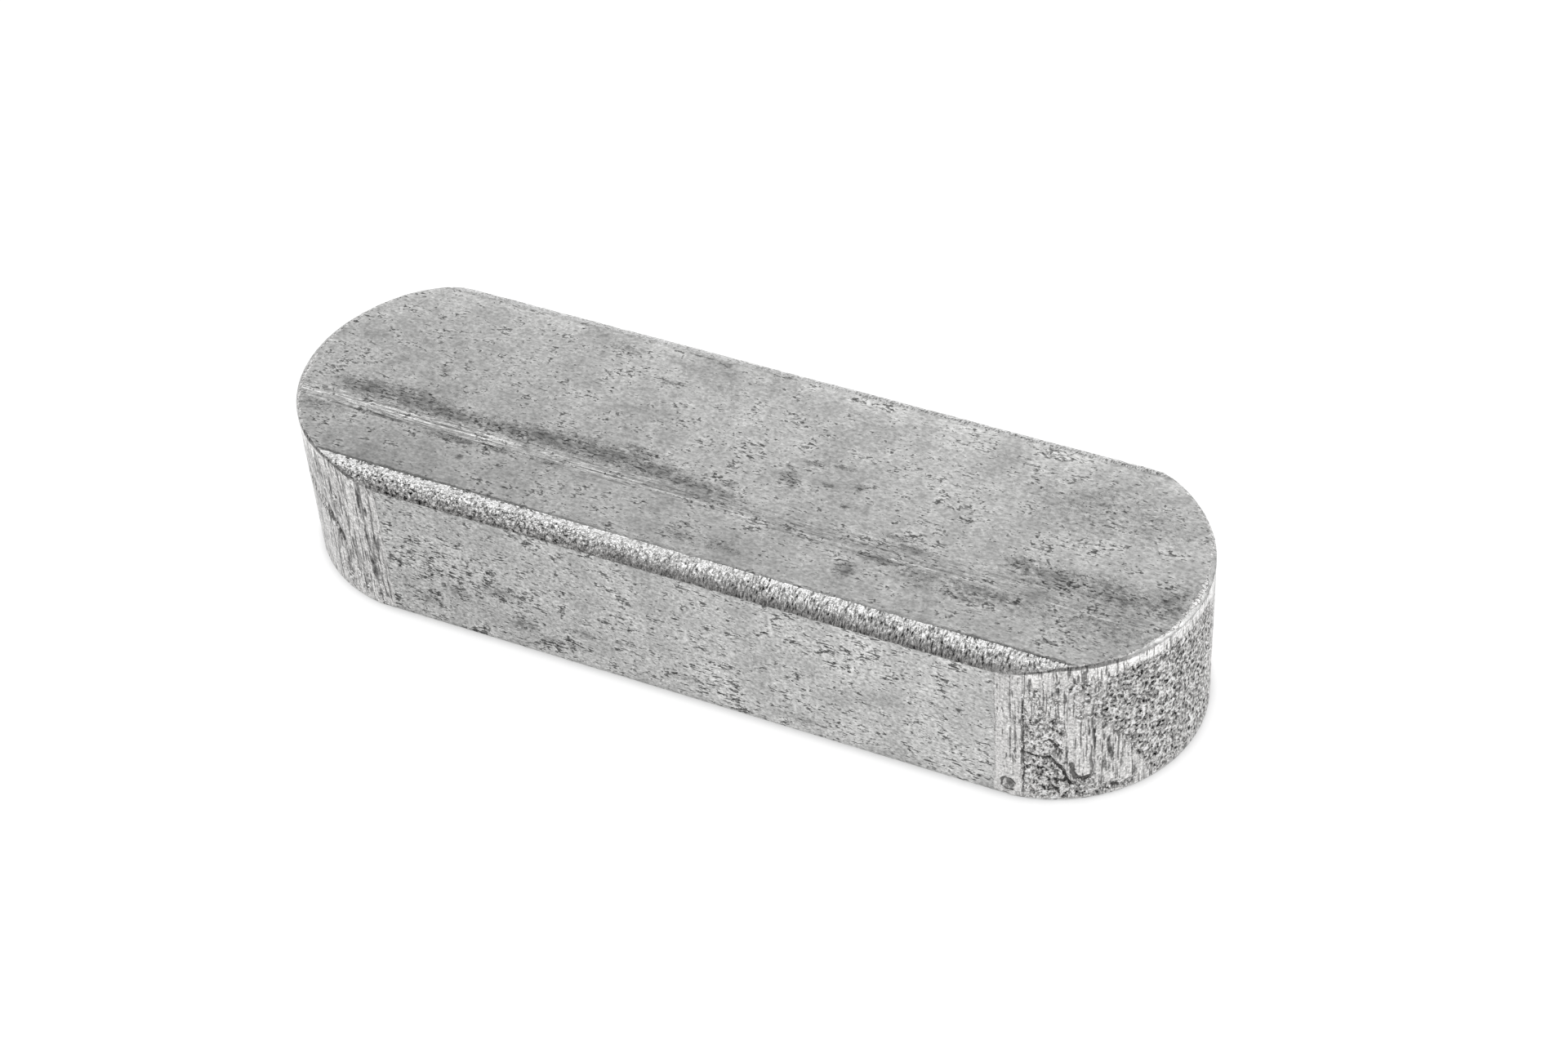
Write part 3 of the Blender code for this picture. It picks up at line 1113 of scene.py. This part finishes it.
        low = left * add(FIT, at.z, 9, 3, 0.02, 0.06)
        often = 0.45 * (cloud - 0.5) + mottle + add(BLEND, on_top, low, -0.03)
        dashes = add(NOISE, at.place * (0.45, 1.4, 1.7), 4.8, 1.6, 0.5, 0.2)
        dash = add(FIT, 0.85 * often + dashes, 1.05, 1.125)
        colour *= 1 - dash * add(BLEND, on_top, 0.78, 0.54)
        specks = add(NOISE, at.place * (0.75, 1, 1), 4.6, 1, 0.6)
        speck = add(FIT, 0.85 * often + specks, 1.095, 1.145)
        colour *= 1 - 0.62 * speck
        hair = add(FIT, abs(add(NOISE, at.place, 0.8, 2, 0.5, 1) - 0.5), 0.03, 0)
        colour *= 1 + 0.3 * (hair * add(FIT, mottle, 0.46, 0.4))

        ragged = add(NOISE, at.place * (0.6, 1, 1), 3.6, 6, 0.88)
        stain = self.marked(at.place, TOP_STAINS, ragged)
        colour *= 1 - 0.48 * (add(FIT, dashes, 0.55, 0.59) * (stain * on_top))
        band = add(FIT, abs(at.y - BAND_MIDDLE), BAND_HALF + 0.04, BAND_HALF - 0.04)
        stain *= add(FIT, band, 0, 1, 1, 0.45)
        dark = add(BLEND, on_top, self.marked(at.unrolled, FLANK_MARKS, ragged), stain)
        colour *= 1 - dark * add(FIT, mottle, 0.4, 0.6, 0.53, 0.37)
        score = self.scores(at, band)
        colour *= 1 + score * on_top
        # Painted shade: a dark ragged line on the top face along its border with the corner
        rim = add(FIT, 0.4 * ragged + at.corner, 0.08, 0.13) * add(FIT, at.corner, 0.5, 0.4)
        colour *= 1 - 0.55 * (rim * self.border_shade(at))
        # Painted shade: a dark line along the flank's foot
        foot = add(FIT, abs(at.z - FOOT_SHADE_LINE), 0.08, 0.03) * add(FIT, ragged, 0.47, 0.53)
        colour *= 1 - 0.26 * foot

        roughness = 0.12 * dark + 0.16 * (mottle - 0.5) + self.drawn_roughness
        relief = 0.02 * grain + 0.02 * score - 0.01 * (dash + speck)
        return Layer(colour, roughness, relief)

    def scores(self, at: Site, band: Value) -> Value:
        """The drawn scores: thin light and dark lines that waver and flake, over a fine hatch.

        Args:
            at: What is read at the point.
            band: Share of the point that lies in the hatched band round the scores.

        Returns:
            How much lighter than the face the point is.
        """
        add = at.graph.add
        sway = add(NOISE, at.place * (0.1, 0.4, 1), 1, 2) - 0.5
        across = 0.25 * sway + at.y
        lines: Value | float = 0.0
        for score in SCORES:
            line = add(FIT, abs(across - score.across), score.half, 0.2 * score.half, 0, score.strength)
            middle = (score.start + score.stop) / 2
            lines = line * add(NEAR, at.x, middle, score.stop - middle) + lines
        lines *= add(FIT, add(NOISE, at.place * (0.4, 1.6, 1), 1.7, 4, 0.75), 0.4, 0.58, 0.2, 1.4)
        slow = add(Kind("CombineXYZ", ("X", "Y")), 0.08 * at.x, across)
        hatch = (add(NOISE, slow, 6, 3, 0.8) - 0.5) * add(FIT, at.x, -9, -2, 2.9, 1.5)
        return (hatch - add(FIT, at.x, -9, -2, 0.05, 0.13)) * band + lines

    def free_corners(self, at: Site) -> Layer:
        """The corners that the die left free: an orange peel of curls and wandering creases, with
        painted highlight and shade.

        Args:
            at: What is read at the point.

        Returns:
            The finish.
        """
        add = at.graph.add
        worms = add(NOISE, at.place, 2.6, 1.5, 0.5, 0.7)
        ridge = add(FIT, abs(worms - 0.5), 0, 0.055)
        curls = add(FIT, abs(add(NOISE, at.place, 3.4, 1, 0.5, 0.6) - 0.5), 0, 0.075)
        right = add(FIT, at.x, -8, 6)
        even = add(NOISE, at.place * (0.8, 1, 1), 5.5, 1.5, 0.75)
        fine = add(BLEND, right, even, add(NOISE, at.place * (1.7, 0.6, 0.6), 4.2, 1.5, 0.75))
        patch = add(NOISE, at.place * (0.5, 1, 1), 0.8, 2)
        across = 0.45 * (patch - 0.5) + 0.4 * (worms - 0.5) + at.corner
        # Painted light: the corner runs from a painted highlight by the top face to painted shade by
        # the flank, and its right part is darker
        colour = add(TINT, add(FIT, across, 0.14, 0.8), linear(self.peel_painted_highlight), linear(self.peel_painted_shade))
        colour = add(TINT, add(FIT, across, 0.8, 0.92), colour, linear(self.peel_foot_painted_shade))
        colour *= 1 - 0.16 * right
        # Painted shade: a dark line on the corner along its border with the top face
        edge = add(FIT, 0.3 * (fine - 0.5) + at.corner, 0.07, 0.02)
        edge *= add(FIT, patch, 0.4, 0.56, 0.35, 1)
        colour *= 1 - 0.88 * (edge * self.border_shade(at))
        clear = add(FIT, at.corner, 0.12, 0.42, add(BLEND, right, 0.05, 0.6), 1)
        # Painted shade: the peel's creases and curl lines, which its relief sinks, are darkened
        colour *= 1 - 0.48 * (clear * (1 - ridge))
        colour *= 1 - clear * add(BLEND, right, 0.5, 0.15) * (1 - curls)
        colour *= 1 + (2.6 * clear + 2.6) * (fine - 0.5)
        relief = 0.03 * ridge + 0.015 * curls + 0.17 * worms + 0.085 * fine
        calm = add(FIT, at.corner, 0.04, 0.26, add(BLEND, right, 0.1, 0.3), 1)
        calm *= add(FIT, at.y, -5, 5, 1, 0.2)
        return Layer(colour, self.bright_roughness, relief * calm)

    def punched_ends(self, at: Site) -> Layer:
        """The ends: burnished metal streaked upright, and torn metal with painted shade in its cracks,
        creases and holes.

        Args:
            at: What is read at the point.

        Returns:
            The finish.
        """
        add = at.graph.add
        side = add(FIT, at.x, -5, 5)
        smooth = add(BLEND, side, 1, add(FIT, at.along, 22.8, 23.6, 0.3, 1))
        streaks = add(NOISE, at.place * (1, 1, 0.05), 3, 4, 0.8)
        grain = add(NOISE, at.place, 5.5, 1.5, 0.8)
        dull = add(NOISE, at.place, 0.6, 3, 0.6)
        colour = linear(self.burnished) * (1 + 1.15 * smooth * (streaks - 0.5))
        colour *= 1 + 0.4 * (dull - 0.5)
        colour *= 1 + 2.2 * (grain - 0.5)
        fine = add(NOISE, at.place * (1, 1, 0.1), 6, 1)
        colour *= 1 - 0.66 * (smooth * add(FIT, fine, 0.42, 0.38))
        lip = add(FIT, 3 * (dull - 0.5) + at.level, self.height - 1.8, self.height - 1.1)
        past = abs(at.along)
        tip = add(FIT, past, 22.5, 23.2, 0.18, -0.1) + add(FIT, past, 26, 29.5, 0, -0.34)
        colour *= 1 - lip * tip
        # Painted shade: the left end a little darker than the right one
        colour *= 1 + 0.04 * (side - 0.5)
        lines = add(FIT, streaks, add(BLEND, side, 0.45, 0.41), add(BLEND, side, 0.42, 0.38))
        colour *= 1 - 0.38 * (lines * smooth)
        short = add(NOISE, at.place * (1, 1, 0.25), 3.9, 2, 0.65)
        colour *= 1 - 0.64 * add(FIT, short, 0.605, 0.655)
        ragged = add(NOISE, at.place * (1, 1, 0.5), 3, 4, 0.75)
        mark = self.marked(at.unrolled, END_MARKS, ragged)
        colour *= 1 - 0.68 * mark
        burnished = Layer(colour, self.bright_roughness, 0.07 * streaks + 0.025 * grain - 0.03 * mark)

        squat = at.place * (1.0, 1.0, 0.85)
        worms = add(NOISE, squat, 2.2, 2, 0.6, 0.8)
        ridge = add(FIT, abs(worms - 0.5), 0, 0.07)
        rough = add(NOISE, squat, 4.2, 1.5, 0.75)
        patch = add(NOISE, squat, 0.9, 2)
        shaded_hole = add(FIT, 0.35 * patch + add(NOISE, squat, 2.8, 2, 0.6), 0.755, 0.815)
        # Painted light and shade: the torn metal's colour follows its relief, lighter on lumps and
        # darker in valleys, creases and holes
        colour = linear(self.torn) * (1 + 5.8 * (rough - 0.5))
        colour *= 1 + 1.8 * (worms - 0.5)
        colour *= 1 + 0.8 * (patch - 0.5)
        colour *= 1 - 0.4 * (1 - ridge)
        colour *= 1 - 0.54 * shaded_hole
        # Painted light: lighter by the hollow, to offset its shade
        colour *= 1 + 0.14 * add(FIT, at.along, 27.2, 28.4, 1, 0)
        relief = 0.2 * rough + 0.28 * worms + 0.06 * ridge - 0.05 * shaded_hole
        share = add(FIT, 0.9 * (rough - 0.5) + at.torn, -0.05, 0.05)
        layer = burnished.under(Layer(colour, self.torn_roughness, relief), share)
        # Painted shade in the cracks
        shadow = add(FIT, 2.2 * (rough - 0.5) + at.crevice, 1.08, 0.62, 0, 0.86)
        return layer._replace(colour=add(TINT, shadow, layer.colour, linear(self.crevice)))

    def rims(self, at: Site, layer: Layer) -> Layer:
        """The rims of the ends: a crease by the corner darkened as painted shade, and a polished roll
        at the tip lightened by a painted highlight.

        Args:
            at: What is read at the point.
            layer: The finish so far.

        Returns:
            The finish with both laid over it.
        """
        add = at.graph.add
        around = abs(at.along) - self.middle
        inset = at.level - self.height
        uneven = add(NOISE, at.place, 0.7, 3, 0.6)
        width = add(FIT, around, 8, 15, 0.1, 0.34) * add(FIT, uneven, 0.35, 0.65, 0.4, 1.5)
        width *= add(FIT, at.along, -1, 1, 0.5, 1)
        rolled = add(FIT, inset - width, 0.02, -0.02) * add(FIT, inset, 0, 0.015)
        rolled *= add(FIT, around, 7.5, 9) * add(FIT, around, 20.5, 18.5)
        # Painted shade: a dark crease along the rim by the corner
        crease = add(FIT, 0.2 * uneven + inset, 0.22, 0.17) * add(FIT, inset, -0.26, -0.22)
        crease *= add(FIT, around, 1.2, 2.2) * add(FIT, around, 11, 8)
        # Painted highlight on the polished roll at the tips
        polish_and_highlight = linear(self.rolled) * (1 + 2 * (add(NOISE, at.place, 2.6, 3, 0.7) - 0.5))
        return Layer(
            add(TINT, rolled, layer.colour * (1 - 0.6 * crease), polish_and_highlight),
            add(BLEND, rolled, layer.roughness, self.bright_roughness),
            layer.relief * add(FIT, rolled, 0, 1, 1, 0.25),
        )


# The studio


@dataclass(frozen=True)
class Studio:
    """A white table under a soft box, and a camera that looks down along the key."""

    azimuth: float = 27.76  # Camera's angle to the right of the key's front, in degrees
    elevation: float = 43.95  # Camera's angle above the table, in degrees
    roll: float = -4.34  # Camera's turn about its own axis, in degrees
    distance: float = 217.0  # Distance of the camera, in mm
    aim_right: float = 2.18  # How far the view is shifted to the right, in mm
    aim_up: float = 4.84  # How far the view is shifted up, in mm
    lens: float = 74.893  # Focal length, in mm
    floor_size: float = 4000.0  # Edge of the table, in mm
    overhead: Place = (-0.30, -0.10, 0.95)  # Where the larger soft box hangs, as seen from the key
    behind: Place = (0.48, 0.34, 0.81)  # Where the smaller one hangs
    box_size: float = 420.0  # Edge of the larger one, in mm
    behind_size: float = 0.55  # Edge of the smaller one, as a share of the larger one's
    box_height: float = 420.0  # Distance of both, in mm
    box_radiance: float = 0.90  # Brightness of the larger one, where 1 is white
    behind_gain: float = 1.15  # Brightness of the smaller one, as a share of the larger one's
    sky: float = 1.12  # Brightness of the room overhead
    horizon: float = 0.45  # Brightness of the room at the height of the table
    zenith: float = 0.55  # Share of the sky's brightness that is left straight above, round the box
    floor_glow: float = 0.82  # Share of the table's white that no wide shadow takes away
    floor_paint: str = "#949494"  # Colour of the table where it is lit
    contact: float = 0.6  # How far from the key the painted contact shadow reaches, in mm
    contact_shadow: float = 0.26  # How much of the table's white the painted contact shadow takes away

    def camera(self) -> None:
        """Sets the camera on a sphere round the key's origin, turned by azimuth and elevation.

        Its back axis is (sin a cos e, -cos a cos e, sin e), and its place is that axis
        times the distance, shifted in its own plane by the aim and rolled about itself.
        """
        a, e, r = (math.radians(v) for v in (self.azimuth, self.elevation, self.roll))
        back = Vector((math.sin(a) * math.cos(e), -math.cos(a) * math.cos(e), math.sin(e)))
        level = Vector((math.cos(a), math.sin(a), 0.0))
        upward = back.cross(level)
        right = math.cos(r) * level + math.sin(r) * upward
        up = math.cos(r) * upward - math.sin(r) * level
        place = (back * self.distance + right * self.aim_right + up * self.aim_up) * MM
        camera = bpy.data.cameras.new("camera")
        camera.sensor_width = 36.0
        camera.lens = self.lens
        camera.clip_start = 0.01
        camera.clip_end = 20.0
        piece = put("camera", camera)
        axes = Matrix((right, up, back)).transposed().to_4x4()
        piece.matrix_world = Matrix.Translation(place) @ axes
        bpy.context.scene.camera = piece

    def floor(self) -> None:
        """Lays a white table top, whose own glow shows only to the camera and in metal and glass,
        dimmed by the key as a painted contact shadow.
        """
        half = self.floor_size / 2 * MM
        mesh = bpy.data.meshes.new("table_top")
        corners = [(-half, -half, 0), (half, -half, 0), (half, half, 0), (-half, half, 0)]
        mesh.from_pydata(corners, [], [(0, 1, 2, 3)])
        material = bpy.data.materials.new("white_table")
        add = Graph.of(material).add
        paint = add(Kind("BsdfDiffuse", ("Color",)), linear(self.floor_paint))
        rays = add(RAYS)
        seen = add(MOST, rays["Is Camera Ray"], rays["Is Glossy Ray"])
        seen = add(MOST, seen, rays["Is Transmission Ray"])
        # Painted shadow: the table's glow dims where the key is near
        open_air = add(Kind("AmbientOcclusion", ("Distance",)), self.contact * MM, samples=8)["AO"]
        glow = add(FIT, open_air, 0.45, 0.95, self.floor_glow - self.contact_shadow, self.floor_glow)
        glow = add(Kind("Emission", ("Strength",)), seen * glow)
        both = add(Kind("AddShader", (0, 1)), paint, glow)
        add(Kind("OutputMaterial", ("Surface",)), both)
        mesh.materials.append(material)
        piece = put("table_top", mesh)

    def soft_box(self, name: str, direction: Place, size: float, radiance: float) -> None:
        """Hangs a square soft box that faces the key.

        Args:
            name: Its name.
            direction: Where it hangs, as seen from the key.
            size: Its edge, in mm.
            radiance: Its brightness, where 1 is white.
        """
        lamp = bpy.data.lights.new(name, "AREA")
        lamp.shape = "SQUARE"
        lamp.size = size * MM
        lamp.energy = radiance * math.pi * lamp.size**2
        piece = put(name, lamp)
        aim = Vector(direction).normalized()
        piece.location = aim * self.box_height * MM
        piece.rotation_euler = aim.to_track_quat("Z", "Y").to_euler()

    def light(self) -> None:
        """Two soft boxes, and a room that is brighter above than at the horizon."""
        self.soft_box("overhead_box", self.overhead, self.box_size, self.box_radiance)
        size, radiance = self.behind_size * self.box_size, self.behind_gain * self.box_radiance
        self.soft_box("back_box", self.behind, size, radiance)

        world = bpy.data.worlds.new("room")
        add = Graph.of(world).add
        height = add(AXES, add(Kind("TexCoord"))["Generated"])["Z"]
        room = add(FIT, height, 0.05, 0.8, self.horizon, self.sky)
        room *= add(FIT, height, 0.8, 0.94, 1, self.zenith)
        strength = add(BLEND, add(RAYS)["Is Camera Ray"], room, 1)
        back = add(Kind("Background", ("Strength",)), strength)
        add(Kind("OutputWorld", ("Surface",)), back)
        bpy.context.scene.world = world
        bpy.context.scene.view_settings.view_transform = "Standard"


def main() -> None:
    """Builds the studio and the key, and dresses the key in its steel."""
    logging.basicConfig(level=logging.INFO, format="%(name)s: %(message)s")
    low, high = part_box("parallel_key")
    size = (high - low) / MM
    studio = Studio()
    studio.camera()
    studio.floor()
    studio.light()
    form = OblongKey(length=size.x, width=size.y, height=size.z)
    key = form.build("oblong_key")
    key.data.materials.append(DrawnSteel(form.middle, form.height).material())
    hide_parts("parallel_key")
    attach(key, "root")
    log.info("%s: %d faces", key.name, len(key.data.polygons))


if __name__ == "__main__":
    main()
